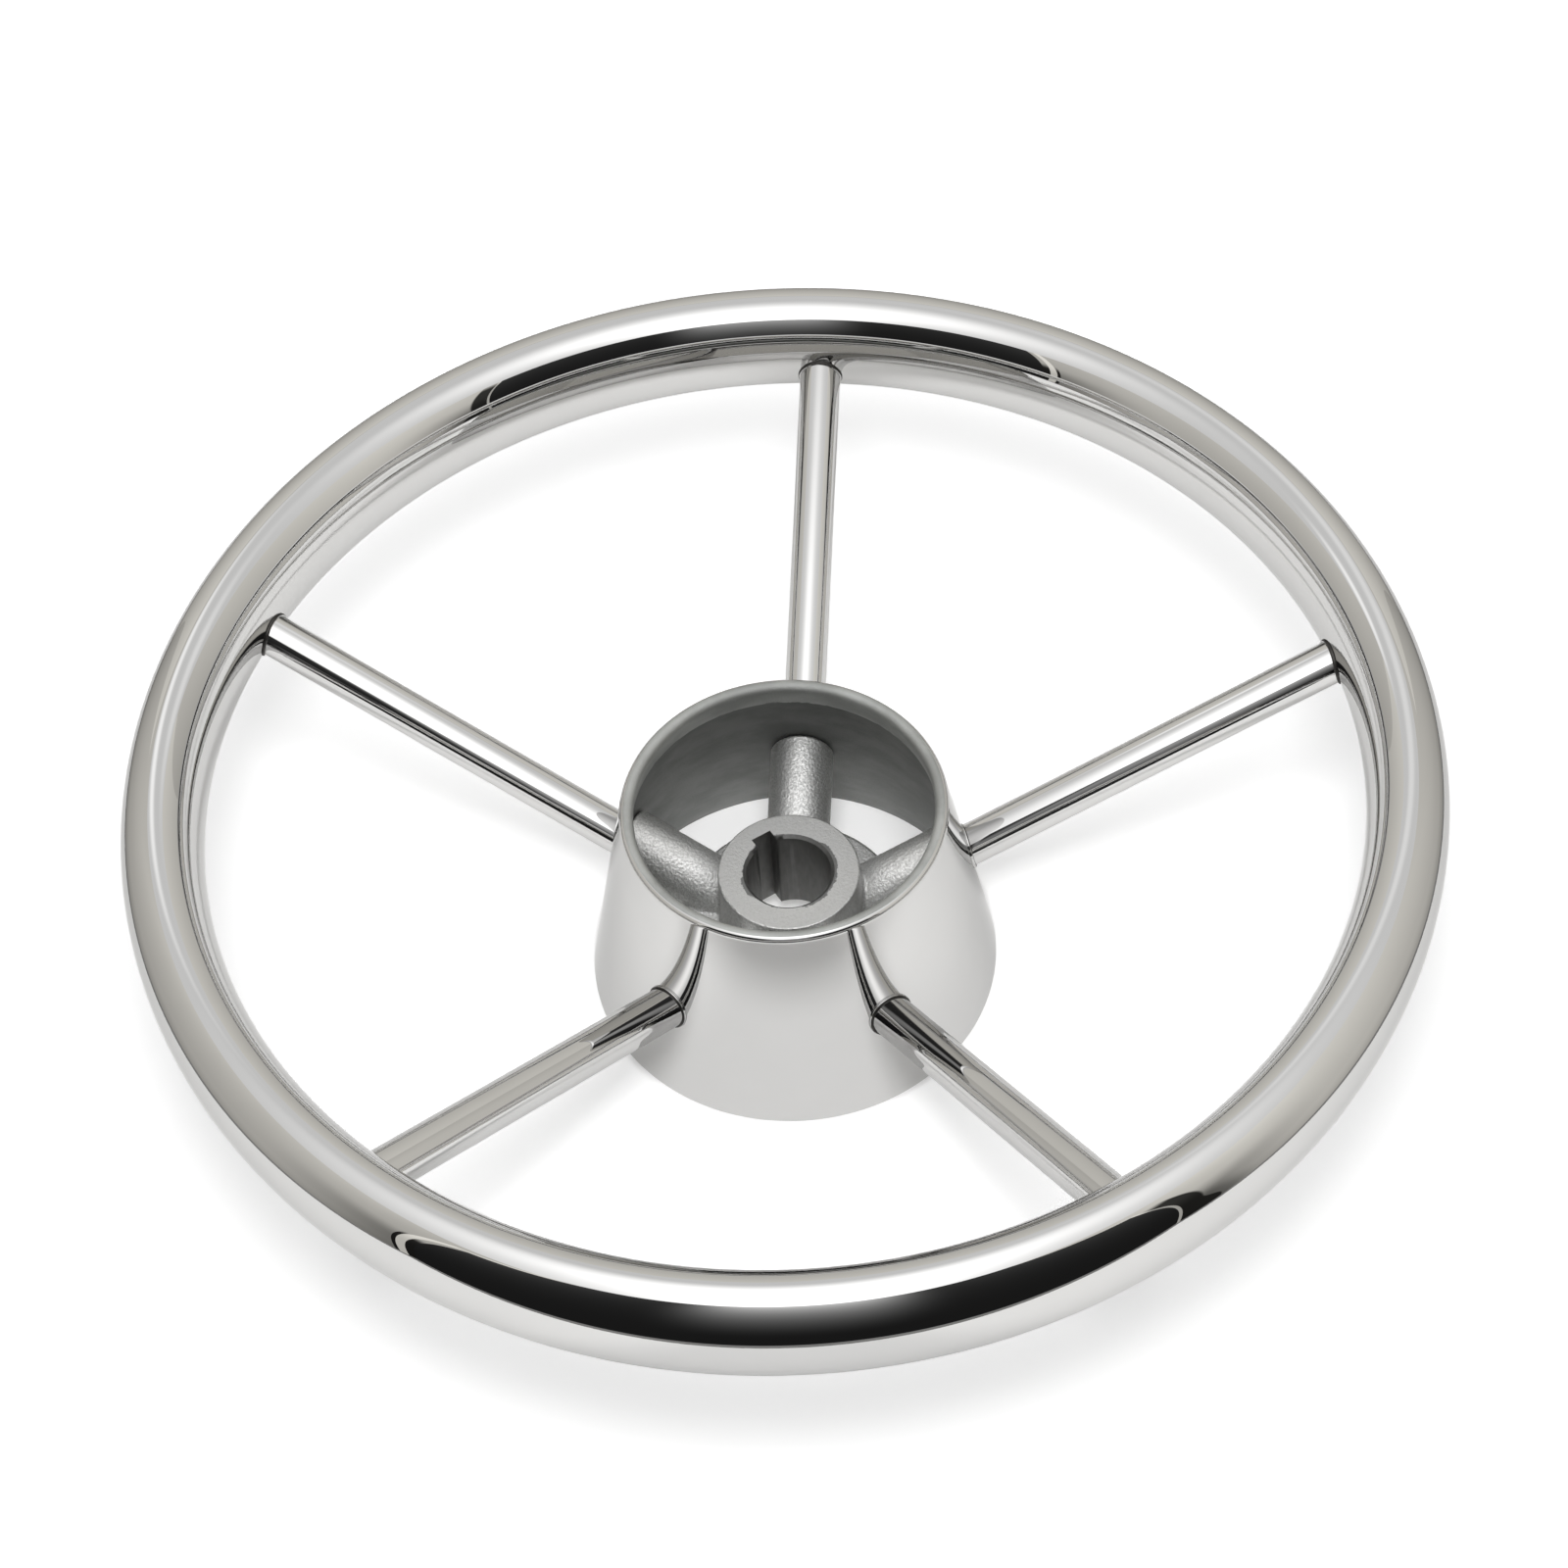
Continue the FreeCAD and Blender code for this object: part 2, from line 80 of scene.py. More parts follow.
class WheelSizes(bpy.types.PropertyGroup):
    """Sizes of the wheel that its pieces are modelled from"""
    rim_outer_radius: FloatProperty(
        name="Rim radius", description="From the axis to the outside of the rim",
        default=RIM_HIGH.x, unit="LENGTH")
    rim_width: FloatProperty(
        name="Rim width", description="The rim's oval section, across the wheel",
        default=RIM_WIDTH, unit="LENGTH")
    rim_depth: FloatProperty(
        name="Rim depth", description="The rim's oval section, along the axis",
        default=RIM_HIGH.z - RIM_LOW.z, unit="LENGTH")
    rim_height: FloatProperty(
        name="Rim height", description="Middle of the rim's section above the cone's foot",
        default=RIM_MIDDLE, unit="LENGTH")
    spoke_radius: FloatProperty(
        name="Spoke radius", description="Outside of a spoke's tube",
        default=0.00475, unit="LENGTH")
    spoke_wall: FloatProperty(
        name="Spoke wall", description="Wall of a spoke's tube", default=0.0015, unit="LENGTH")
    dish: FloatProperty(
        name="Dish", description="Rise of the spokes towards the rim",
        default=math.atan((RIM_MIDDLE - SPOKE_DROP - SPOKE_AIM) / (RIM_HIGH.x - RIM_WIDTH / 2)),
        subtype="ANGLE")
    spoke_aim: FloatProperty(
        name="Spoke aim", description="Height at which the spokes' axes cross the wheel's axis",
        default=SPOKE_AIM, unit="LENGTH")
    foot_radius: FloatProperty(
        name="Cone foot", description="Outside of the cone at its foot",
        default=CONE_HIGH.x, unit="LENGTH")
    lip_radius: FloatProperty(
        name="Cone lip", description="Outside of the cone level with the middle of its lip",
        default=0.0359, unit="LENGTH")
    cone_height: FloatProperty(
        name="Cone height", description="Foot to the top of the lip",
        default=CONE_HIGH.z, unit="LENGTH")
    cone_wall: FloatProperty(
        name="Cone sheet", description="Thickness of the cone's sheet", default=0.0016, unit="LENGTH")
    hem_depth: FloatProperty(
        name="Hem depth", description="Top of the lip to the raw edge of the hem",
        default=0.0062, unit="LENGTH")
    bore_radius: FloatProperty(
        name="Bore radius", description="Shaft bore of the boss", default=0.009525, unit="LENGTH")
    boss_radius: FloatProperty(
        name="Boss radius", description="Boss of the casting", default=0.0159, unit="LENGTH")


class WheelFinish(bpy.types.PropertyGroup):
    """Colours and finishes of the wheel"""
    steel: FloatVectorProperty(
        name="Polished steel", description="Colour of the mirror-polished tube and cone",
        default=(0.60, 0.597, 0.592), subtype="COLOR", min=0, max=1)
    casting: FloatVectorProperty(
        name="Casting", description="Colour of the blasted casting",
        default=(0.84, 0.84, 0.83), subtype="COLOR", min=0, max=1)
    inside: FloatVectorProperty(
        name="Cone inside", description="Colour of the cone's dull inside",
        default=(0.24, 0.245, 0.24), subtype="COLOR", min=0, max=1)


class WheelStudio(bpy.types.PropertyGroup):
    """Camera and light tent"""
    focal_length: FloatProperty(
        name="Focal length", description="Of the camera, in millimetres", default=70.09, unit="CAMERA")
    distance: FloatProperty(
        name="Distance", description="From the camera to the plane it is aimed at",
        default=0.6492, unit="LENGTH")
    elevation: FloatProperty(
        name="Elevation", description="How steeply the camera looks down",
        default=math.radians(51.976), subtype="ANGLE")
    azimuth: FloatProperty(
        name="Azimuth", description="Turn of the camera about the wheel's axis",
        default=math.radians(7.715), subtype="ANGLE")
    roll: FloatProperty(
        name="Roll", description="Turn of the camera about its own line of sight",
        default=math.radians(-4.418), subtype="ANGLE")
    aim: FloatVectorProperty(
        name="Aim", description="Middle of the picture from the rim's centre, in the camera's plane",
        default=(-0.0007, 0.00335), size=2, unit="LENGTH")
    tent_turn: FloatProperty(
        name="Tent turn", description="Turn of the light tent about the wheel's axis",
        default=math.radians(4.8), subtype="ANGLE")


# Selecting, shaping and placing
def deselect():
    if bpy.context.object and bpy.context.object.mode != "OBJECT":
        bpy.ops.object.mode_set(mode="OBJECT")
    bpy.ops.object.select_all(action="DESELECT")


def activate(piece):
    deselect()
    piece.select_set(True)
    bpy.context.view_layer.objects.active = piece


def named(name):
    """The primitive that was just added, under its piece's name."""
    piece = bpy.context.object
    piece.name = name
    piece.data.name = name
    return piece


def apply_place(piece):
    activate(piece)
    bpy.ops.object.transform_apply(location=True, rotation=True, scale=True)


def finish_piece(piece, nodes, smooth_angle=None):
    """Shades a piece smoothly, gives it its body, and hides the nodes it stands for."""
    activate(piece)
    if smooth_angle is None:
        bpy.ops.object.shade_smooth()
    else:
        bpy.ops.object.shade_smooth_by_angle(angle=smooth_angle)
    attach(piece, BODY)
    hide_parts(*nodes)


# Node materials
WHITE = (1, 1, 1, 1)
EDGE_TINT = (0.68, 0.68, 0.68, 1)


def rgba(colour, share=1.0):
    return tuple(channel * share for channel in colour) + (1.0,)


class Recipe:
    """A material's node tree, with short calls for the nodes that the finishes are made of."""

    def __init__(self, name):
        self.material = bpy.data.materials.new(name)
        self.material.use_nodes = True
        self.tree = self.material.node_tree
        self.tree.nodes.clear()
        self.output = self.tree.nodes.new("ShaderNodeOutputMaterial")

    def node(self, kind, settings=(), **inputs):
        made = self.tree.nodes.new(kind)
        for setting, value in dict(settings).items():
            setattr(made, setting, value)
        for name, value in inputs.items():
            self.feed(made.inputs[name.replace("_", " ")], value)
        return made

    def feed(self, socket, value):
        if isinstance(value, bpy.types.NodeSocket):
            self.tree.links.new(value, socket)
        else:
            socket.default_value = value

    def place(self):
        return self.node("ShaderNodeTexCoord").outputs["Object"]

    def stretched(self, scale):
        return self.node("ShaderNodeMapping", Vector=self.place(), Scale=scale).outputs["Vector"]

    def split(self, vector):
        return self.node("ShaderNodeSeparateXYZ", Vector=vector).outputs

    def maths(self, operation, first, second=0.0, third=0.0):
        made = self.node("ShaderNodeMath", {"operation": operation})
        for socket, value in zip(made.inputs, (first, second, third)):
            self.feed(socket, value)
        return made.outputs[0]

    def span(self, value, low, high, to_low=0.0, to_high=1.0, smooth=True):
        """A value mapped from one range to another, and held at the ends."""
        kind = "SMOOTHSTEP" if smooth else "LINEAR"
        made = self.node("ShaderNodeMapRange", {"interpolation_type": kind}, Value=value, From_Min=low,
                         From_Max=high, To_Min=to_low, To_Max=to_high)
        return made.outputs[0]

    def noise(self, vector, scale, detail=2.0, roughness=0.5):
        return self.node("ShaderNodeTexNoise", Vector=vector, Scale=scale, Detail=detail,
                         Roughness=roughness).outputs["Fac"]

    def blend(self, factor, first, second):
        """A colour between two, by a factor."""
        made = self.node("ShaderNodeMix", {"data_type": "RGBA"})
        self.feed(made.inputs["Factor"], factor)
        self.feed(made.inputs[6], first)
        self.feed(made.inputs[7], second)
        return made.outputs[2]

    def shades(self, factor, colour, low, high):
        """A shade of a colour between two shares of it, by a factor."""
        return self.blend(factor, rgba(colour, low), rgba(colour, high))

    def uneven(self, value, noise, reach):
        """A value moved by a noise, as far as the reach either way."""
        return self.maths("ADD", value, self.span(noise, 0.3, 0.7, -reach, reach, smooth=False))

    def length(self, first, second):
        squares = [self.maths("MULTIPLY", value, value) for value in (first, second)]
        return self.maths("SQRT", self.maths("ADD", *squares))

    def bump(self, height, distance, strength=1.0, normal=None):
        made = self.node("ShaderNodeBump", Height=height, Distance=distance, Strength=strength)
        if normal:
            self.feed(made.inputs["Normal"], normal)
        return made.outputs["Normal"]

    def shader(self, socket):
        """The finished material, with a shader on its output."""
        self.tree.links.new(socket, self.output.inputs["Surface"])
        return self.material

    def metal(self, **inputs):
        made = self.node("ShaderNodeBsdfPrincipled", Metallic=1.0, Specular_Tint=EDGE_TINT, **inputs)
        return self.shader(made.outputs[0])


def outward(recipe, out, up):
    """The surface's direction, from its parts away from the axis and along it."""
    x, y, z = recipe.split(recipe.place())
    share = recipe.maths("DIVIDE", out, recipe.length(x, y))
    vector = recipe.node("ShaderNodeCombineXYZ", X=recipe.maths("MULTIPLY", x, share),
                         Y=recipe.maths("MULTIPLY", y, share), Z=up)
    turned = recipe.node("ShaderNodeVectorMath", {"operation": "NORMALIZE"}, Vector=vector.outputs[0])
    return turned.outputs[0]


def rim_direction(recipe, sizes):
    """The oval ring's true direction, so that its mirror shows no facets."""
    x, y, z = recipe.split(recipe.place())
    half_width = sizes.rim_width / 2
    out = recipe.maths("SUBTRACT", recipe.length(x, y), sizes.rim_outer_radius - half_width)
    up = recipe.maths("SUBTRACT", z, sizes.rim_height)
    flat = (sizes.rim_width / sizes.rim_depth) ** 2
    return outward(recipe, out, recipe.maths("MULTIPLY", up, flat))


def cone_taper(sizes):
    """How far the cone's side leans in."""
    return math.atan((sizes.foot_radius - sizes.lip_radius) / (sizes.cone_height - sizes.cone_wall))


def cone_direction(recipe, sizes):
    """The cone's true direction outside."""
    taper = cone_taper(sizes)
    return outward(recipe, math.cos(taper), math.sin(taper))


def polished_steel(name, finish, sizes, direction=None):
    """Buffed stainless: a mirror with a slow ripple and a faint haze."""
    recipe = Recipe(name)
    cloud = recipe.noise(recipe.place(), 60.0, 3.0)
    ripple = recipe.noise(recipe.place(), 20.0, 0.0)
    smooth = direction(recipe, sizes) if direction else None
    return recipe.metal(
        Base_Color=recipe.shades(cloud, finish.steel, 0.98, 1.02),
        Roughness=recipe.span(cloud, 0.3, 0.7, 0.005, 0.011),
        Normal=recipe.bump(ripple, 0.000006, normal=smooth))


def from_spoke_axis(recipe, sizes):
    """Distance from the axis of the nearest spoke."""
    x, y, z = recipe.split(recipe.place())
    out = recipe.length(x, y)
    turn = recipe.maths("SUBTRACT", recipe.maths("ARCTAN2", y, x), FIRST_SPOKE)
    half_pitch = math.pi / SPOKE_COUNT
    turn = recipe.maths("WRAP", turn, half_pitch, -half_pitch)
    across = recipe.maths("MULTIPLY", out, recipe.maths("SINE", turn))
    along = recipe.maths("MULTIPLY", out, recipe.maths("COSINE", turn))
    rise = recipe.maths("MULTIPLY", recipe.maths("SUBTRACT", z, sizes.spoke_aim), math.cos(sizes.dish))
    rise = recipe.maths("SUBTRACT", rise, recipe.maths("MULTIPLY", along, math.sin(sizes.dish)))
    return recipe.length(across, rise)


# How far the finishes' edges wander and how soft they are, the bore's chamfer, and a weld's stains
SEAM_UNEVEN = 0.00003
SEAM_EDGE = 0.00004
HEM_RAGGED = 0.0006
HEM_EDGE = 0.0001
BORE_TORN = 0.0004
BORE_EDGE = 0.0002
BORE_CHAMFER = 0.0007
STAINS = ((0.03, 0.029, 0.028, 1), (0.09, 0.087, 0.083, 1))


def weld_seam(name, sizes, finish, dark_from, dark_to):
    """A flush weld: polished like the tubes, but for the thin dark line that the mop can't reach."""
    recipe = Recipe(name)
    cloud = recipe.noise(recipe.place(), 700.0, 3.0)
    far = recipe.uneven(from_spoke_axis(recipe, sizes), cloud, SEAM_UNEVEN)
    line = recipe.maths("MULTIPLY", recipe.span(far, dark_from - SEAM_EDGE, dark_from + SEAM_EDGE),
                        recipe.span(far, dark_to - SEAM_EDGE, dark_to + SEAM_EDGE, 1.0, 0.0))
    return recipe.metal(
        Base_Color=recipe.blend(line, rgba(finish.steel, 0.85), recipe.blend(cloud, *STAINS)),
        Roughness=recipe.span(line, 0.0, 1.0, 0.06, 0.4), Normal=recipe.bump(cloud, 0.00004, 0.5))


def dull_inside(name, finish, hem_edge):
    """The cone's inside: blasted sheet, paler on the turned-in hem, with smears and small scratches."""
    recipe = Recipe(name)
    place = recipe.place()
    x, y, z = recipe.split(place)
    smear = recipe.noise(recipe.stretched((1.0, 1.0, 2.0)), 55.0, 5.0, 0.6)
    smear = recipe.span(smear, 0.35, 0.65)
    grain = recipe.noise(place, 2200.0, 3.0, 0.6)
    ragged = recipe.uneven(z, recipe.noise(place, 260.0, 4.0, 0.7), HEM_RAGGED)
    hem = recipe.span(ragged, hem_edge - HEM_EDGE, hem_edge + HEM_EDGE, smooth=False)
    wall = recipe.shades(smear, finish.inside, 0.88, 1.12)
    land = recipe.shades(smear, finish.inside, 1.6, 2.1)
    return recipe.metal(
        Base_Color=recipe.blend(hem, wall, land), Roughness=0.62, Normal=recipe.bump(grain, 0.00012, 0.6))


def blasted_casting(name, finish):
    """As-cast and shot-blasted stainless: a pebbled skin that sparkles."""
    recipe = Recipe(name)
    place = recipe.place()
    pebbles = recipe.noise(place, 1500.0, 2.0, 0.5)
    grains = recipe.span(recipe.noise(place, 2300.0, 1.0), 0.35, 0.65)
    patches = recipe.maths("ADD", recipe.noise(place, 130.0, 3.0), grains)
    return recipe.metal(
        Base_Color=recipe.shades(recipe.maths("MULTIPLY", patches, 0.5), finish.casting, 0.82, 1.18),
        Roughness=recipe.span(grains, 0.0, 1.0, 0.62, 0.5), Normal=recipe.bump(pebbles, 0.0002))


def turned_face(name, finish, bore_radius):
    """The boss face, faced off and left matte, with a torn dark edge round the bore."""
    recipe = Recipe(name)
    place = recipe.place()
    x, y, z = recipe.split(place)
    grain = recipe.noise(place, 1500.0, 4.0, 0.65)
    torn = recipe.span(recipe.noise(place, 90.0, 1.0), 0.42, 0.6, -0.0002, 0.0006)
    torn = recipe.uneven(torn, recipe.noise(place, 900.0, 3.0, 0.7), BORE_TORN)
    inner_edge = bore_radius + BORE_CHAMFER
    radius = recipe.maths("SUBTRACT", recipe.length(x, y), torn)
    whole = recipe.span(radius, inner_edge, inner_edge + BORE_EDGE)
    face = recipe.shades(grain, finish.casting, 0.7, 0.88)
    return recipe.metal(
        Base_Color=recipe.blend(whole, rgba(finish.casting, 0.3), face), Roughness=0.65,
        Normal=recipe.bump(grain, 0.0003, 0.7))


def bore_with_painted_shade(name, finish):
    """The bore and keyway: reamed steel, smeared, its colour painted darker as the shade inside the bore.
    """
    recipe = Recipe(name)
    smear = recipe.noise(recipe.stretched((1.0, 1.0, 0.3)), 900.0, 4.0, 0.6)
    # Painted shade: the bore's colour is a fifth to a third of the casting's, for the shade inside it
    return recipe.metal(
        Base_Color=recipe.shades(smear, finish.casting, 0.2, 0.34), Roughness=0.55,
        Normal=recipe.bump(smear, 0.0001, 0.6))


# Rim
class BOATWHEEL_OT_rim(bpy.types.Operator):
    """Model the oval rim as one closed ring"""
    bl_idname = "boatwheel.rim"
    bl_label = "Rim"

    def execute(self, context):
        sizes = context.scene.boat_wheel
        finish = context.scene.boat_wheel_finish
        deselect()
        bpy.ops.mesh.primitive_torus_add(
            major_segments=RIM_SEGMENTS, minor_segments=RIM_SECTION_SEGMENTS,
            major_radius=sizes.rim_outer_radius - sizes.rim_width / 2, minor_radius=sizes.rim_width / 2)
        rim = named("rim")
        bpy.ops.object.mode_set(mode="EDIT")
        bpy.ops.mesh.select_all(action="SELECT")
        bpy.ops.transform.resize(value=(1, 1, sizes.rim_depth / sizes.rim_width))
        bpy.ops.transform.translate(value=(0, 0, sizes.rim_height))
        bpy.ops.object.mode_set(mode="OBJECT")
        rim.data.materials.append(polished_steel("rim polish", finish, sizes, rim_direction))
        finish_piece(rim, ["rim_tube"])
        return {"FINISHED"}


# Spokes
def first_spoke_axis(sizes):
    """Direction out along the first spoke's axis."""
    level = math.cos(sizes.dish)
    return Vector((level * math.cos(FIRST_SPOKE), level * math.sin(FIRST_SPOKE), math.sin(sizes.dish)))


class BOATWHEEL_OT_spokes(bpy.types.Operator):
    """Model one tube spoke and copy it round"""
    bl_idname = "boatwheel.spokes"
    bl_label = "Spokes"

    def execute(self, context):
        sizes = context.scene.boat_wheel
        finish = context.scene.boat_wheel_finish
        low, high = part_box("spoke_1")
        square_end = sizes.spoke_radius * math.cos(sizes.dish)
        start = (low.z + square_end - sizes.spoke_aim) / math.sin(sizes.dish)
        end = (high.z - square_end - sizes.spoke_aim) / math.sin(sizes.dish)
        axis = first_spoke_axis(sizes)
        deselect()
        bpy.ops.mesh.primitive_cylinder_add(
            vertices=SPOKE_SEGMENTS, radius=sizes.spoke_radius, depth=end - start, end_fill_type="NOTHING")
        first = named("spoke_tube_1")
        wall = first.modifiers.new("wall", "SOLIDIFY")
        wall.thickness = sizes.spoke_wall
        wall.offset = -1
        bpy.ops.object.modifier_apply(modifier=wall.name)
        first.rotation_mode = "QUATERNION"
        first.rotation_quaternion = axis.to_track_quat("Z", "Y")
        first.location = Vector((0, 0, sizes.spoke_aim)) + axis * (start + end) / 2
        apply_place(first)
        first.data.materials.append(polished_steel("spoke polish", finish, sizes))
        tubes = [first]
        for number in range(1, SPOKE_COUNT):
            tube = first.copy()
            tube.data = first.data.copy()
            tube.name = "spoke_tube_%d" % (number + 1)
            context.collection.objects.link(tube)
            tube.data.transform(Matrix.Rotation(number * math.tau / SPOKE_COUNT, 4, "Z"))
            tubes.append(tube)
        for number, tube in enumerate(tubes, start=1):
            finish_piece(tube, ["spoke_%d" % number], math.radians(40))
        return {"FINISHED"}


# Hub cone
WALL_STEPS = 24
LIP_STEPS = 16
BREAK_EDGE = 0.00015
RAW_BREAK = 0.00012
LEAST_OUTWARD = 0.4
END_BAND = 0.0001
OUTSIDE, LIP, INSIDE = range(3)


def cone_section(sizes):
    """The hemmed sheet's section as (radius, height) points: up the outside, over the rolled lip,
    down the leaf to its raw edge, and down the inside to the foot."""
    taper = cone_taper(sizes)
    wall = sizes.cone_wall
    up = Vector((-math.sin(taper), math.cos(taper)))
    inward = Vector((-math.cos(taper), -math.sin(taper)))
    foot = Vector((sizes.foot_radius, 0))
    run = (sizes.cone_height - wall) / math.cos(taper) + wall * math.tan(taper)
    lip_outside = foot + up * run
    centre = lip_outside + inward * wall
    points = [foot + inward * BREAK_EDGE, foot + up * BREAK_EDGE]
    for step in range(1, WALL_STEPS):
        points.append(foot + up * (BREAK_EDGE + (run - BREAK_EDGE) * step / WALL_STEPS))
    for step in range(LIP_STEPS + 1):
        angle = taper + math.pi * step / LIP_STEPS
        points.append(centre + Vector((math.cos(angle), math.sin(angle))) * wall)
    leaf_top = centre + inward * wall
    leaf = sizes.hem_depth - wall
    for share in (0.25, 0.5, 0.75, 0.95):
        points.append(leaf_top - up * leaf * share)
    raw = leaf_top - up * leaf
    points += [raw - inward * RAW_BREAK, raw - inward * wall]
    inside_foot = foot + inward * wall
    inside_foot += up * (-inside_foot.y / up.y)
    for step in range(1, WALL_STEPS):
        points.append((raw - inward * wall).lerp(inside_foot, step / WALL_STEPS))
    points += [inside_foot + up * BREAK_EDGE, inside_foot - inward * BREAK_EDGE]
    points[0].y = 0.0
    points[-1].y = 0.0
    return points


def ring_by_ring(name, section, segments):
    """A closed ring of revolution, extruded and resized from one section point to the next."""
    deselect()
    first = section[0]
    bpy.ops.mesh.primitive_circle_add(
        vertices=segments, radius=first.x, fill_type="NOTHING", location=(0, 0, first.y))
    ring = named(name)
    apply_place(ring)
    bpy.ops.object.mode_set(mode="EDIT")
    bpy.ops.mesh.select_mode(type="EDGE")
    bpy.ops.mesh.select_all(action="SELECT")
    for here, there in zip(section, section[1:]):
        bpy.ops.mesh.extrude_region_move()
        share = there.x / here.x
        bpy.ops.transform.resize(value=(share, share, 1), center_override=(0, 0, here.y))
        bpy.ops.transform.translate(value=(0, 0, there.y - here.y))
    bpy.ops.mesh.select_all(action="DESELECT")
    bpy.ops.mesh.select_non_manifold()
    bpy.ops.mesh.bridge_edge_loops()
    bpy.ops.mesh.select_all(action="SELECT")
    bpy.ops.mesh.normals_make_consistent(inside=False)
    bpy.ops.object.mode_set(mode="OBJECT")
    return ring


class BOATWHEEL_OT_hub_cone(bpy.types.Operator):
    """Model the hub cone with its rolled lip and turned-in hem"""
    bl_idname = "boatwheel.hub_cone"
    bl_label = "Hub cone"

    def execute(self, context):
        sizes = context.scene.boat_wheel
        finish = context.scene.boat_wheel_finish
        cone = ring_by_ring("cone", cone_section(sizes), CONE_SEGMENTS)
        for material in (polished_steel("cone polish", finish, sizes, cone_direction),
                         polished_steel("lip polish", finish, sizes),
                         dull_inside("cone inside", finish, sizes.cone_height - sizes.hem_depth)):
            cone.data.materials.append(material)
        lip_base = sizes.cone_height - sizes.cone_wall
        # Faces that hardly look outwards are dull, and the foot's edge is finished as the lip is
        for face in cone.data.polygons:
            middle = face.center
            out = (face.normal.x * middle.x + face.normal.y * middle.y) / math.hypot(middle.x, middle.y)
            if out < LEAST_OUTWARD:
                face.material_index = INSIDE
            elif middle.z > lip_base - END_BAND or middle.z < END_BAND:
                face.material_index = LIP
            else:
                face.material_index = OUTSIDE
        finish_piece(cone, ["hub_cone"], math.radians(50))
        return {"FINISHED"}


# Casting
FACE_REACH = 0.00002
BORE_SHARE = 0.85
SKIN, FACE, BORE = range(3)


class BOATWHEEL_OT_spider(bpy.types.Operator):
    """Dress the casting: pebbled arms, turned boss face, reamed bore"""
    bl_idname = "boatwheel.spider"
    bl_label = "Casting"

    def execute(self, context):
        sizes = context.scene.boat_wheel
        finish = context.scene.boat_wheel_finish
        node = frame["nodes"]["hub_spider"]
        casting = node.copy()
        casting.data = node.data.copy()
        casting.name = "casting"
        for key in list(casting.keys()):
            del casting[key]
        casting.parent = None
        context.collection.objects.link(casting)
        activate(casting)
        bpy.ops.object.mode_set(mode="EDIT")
        bpy.ops.mesh.select_all(action="SELECT")
        bpy.ops.mesh.remove_doubles(threshold=0.000001)
        bpy.ops.object.mode_set(mode="OBJECT")
        casting.data.materials.clear()
        for material in (blasted_casting("casting skin", finish),
                         turned_face("turned face", finish, sizes.bore_radius), bore_with_painted_shade("bore", finish)):
            casting.data.materials.append(material)
        # The boss's top is the turned face, and what else is well within the boss's radius is the bore
        for face in casting.data.polygons:
            middle = face.center
            radius = math.hypot(middle.x, middle.y)
            if abs(middle.z - BOSS_FACE) < FACE_REACH and radius < sizes.boss_radius:
                face.material_index = FACE
            elif radius < sizes.boss_radius * BORE_SHARE:
                face.material_index = BORE
            else:
                face.material_index = SKIN
        finish_piece(casting, ["hub_spider"], math.radians(30))
        for face in casting.data.polygons:
            face.use_smooth = face.material_index != FACE
        flats = casting.modifiers.new("flats", "WEIGHTED_NORMAL")
        flats.keep_sharp = True
        flats.weight = 100
        bpy.ops.object.modifier_apply(modifier=flats.name)
        return {"FINISHED"}


# Weld beads: how far from the spoke's tube the dark line ends at the hub, and starts at the rim
HUB_SEAM = 0.0004
RIM_SEAM = 0.0003


class BOATWHEEL_OT_welds(bpy.types.Operator):
    """Finish the flush weld seams at both ends of the spokes"""
    bl_idname = "boatwheel.welds"
    bl_label = "Weld beads"

    def execute(self, context):
        sizes = context.scene.boat_wheel
        finish = context.scene.boat_wheel_finish
        tube = sizes.spoke_radius
        finishes = {"hub_weld_beads": weld_seam("hub weld", sizes, finish, 0.0, tube + HUB_SEAM),
                    "rim_weld_beads": weld_seam("rim weld", sizes, finish, tube + RIM_SEAM, 2 * tube)}
        for name, seam in finishes.items():
            for slot in frame["nodes"][name].material_slots:
                slot.material = seam
        return {"FINISHED"}


# Studio: the tent's walls, and along them the gaps and pale poles of its front corners
TENT_FRONT = -0.7155
TENT_SIDE = 0.85
TENT_BACK = 0.9
TENT_LOW = -0.5
TENT_HIGH = 1.0
LEFT_GAP = -0.684
LEFT_POLE = (-0.684, -0.652)
LEFT_SLIT = (-0.652, -0.637)
RIGHT_POLE = (-0.716, -0.703)
RIGHT_GAP = (-0.632, -0.618)
RIGHT_SHADE = (-0.62, -0.5)
GAP_SHARE = 0.06
POLE_GLOW = 0.5
CLOTH_TINT = (1.0, 0.975, 0.91, 1)

# The soft light overhead, its two small lamps, and the lamp that makes the shadow
DISC_RADIUS = 0.4
DISC_HEIGHT = 0.424
LIGHT_WIDTH = 0.14
LIGHT_PEAK = 1.5
LIGHT_BASE = 0.86
SMALL_LAMPS = (((-0.185, 0.275), 0.06, 0.55), ((0.11, 0.27), 0.08, 0.25))
LAMP_PLACE = (0.02, -0.33, 0.8)
LAMP_SIZE = 0.34
LAMP_POWER = 5.4
EVEN_LIGHT = 0.3

# The floor, the white sheet on it, and its glow for mirrors and for the camera
FLOOR_SIZE = 8
SHEET_EDGE = 0.25
# Past the sheet's edge, mirrors see a narrow dark band: painted shadow of the sheet's edge hanging down
SHEET_EDGE_SHADOW_WIDTH = 0.022
SHEET_COLOUR = (0.8, 0.8, 0.8, 1)
SHEET_EDGE_SHADOW_COLOUR = (0.05, 0.05, 0.05, 1)
SHEET_TINT = (1.0, 0.993, 0.965, 1)
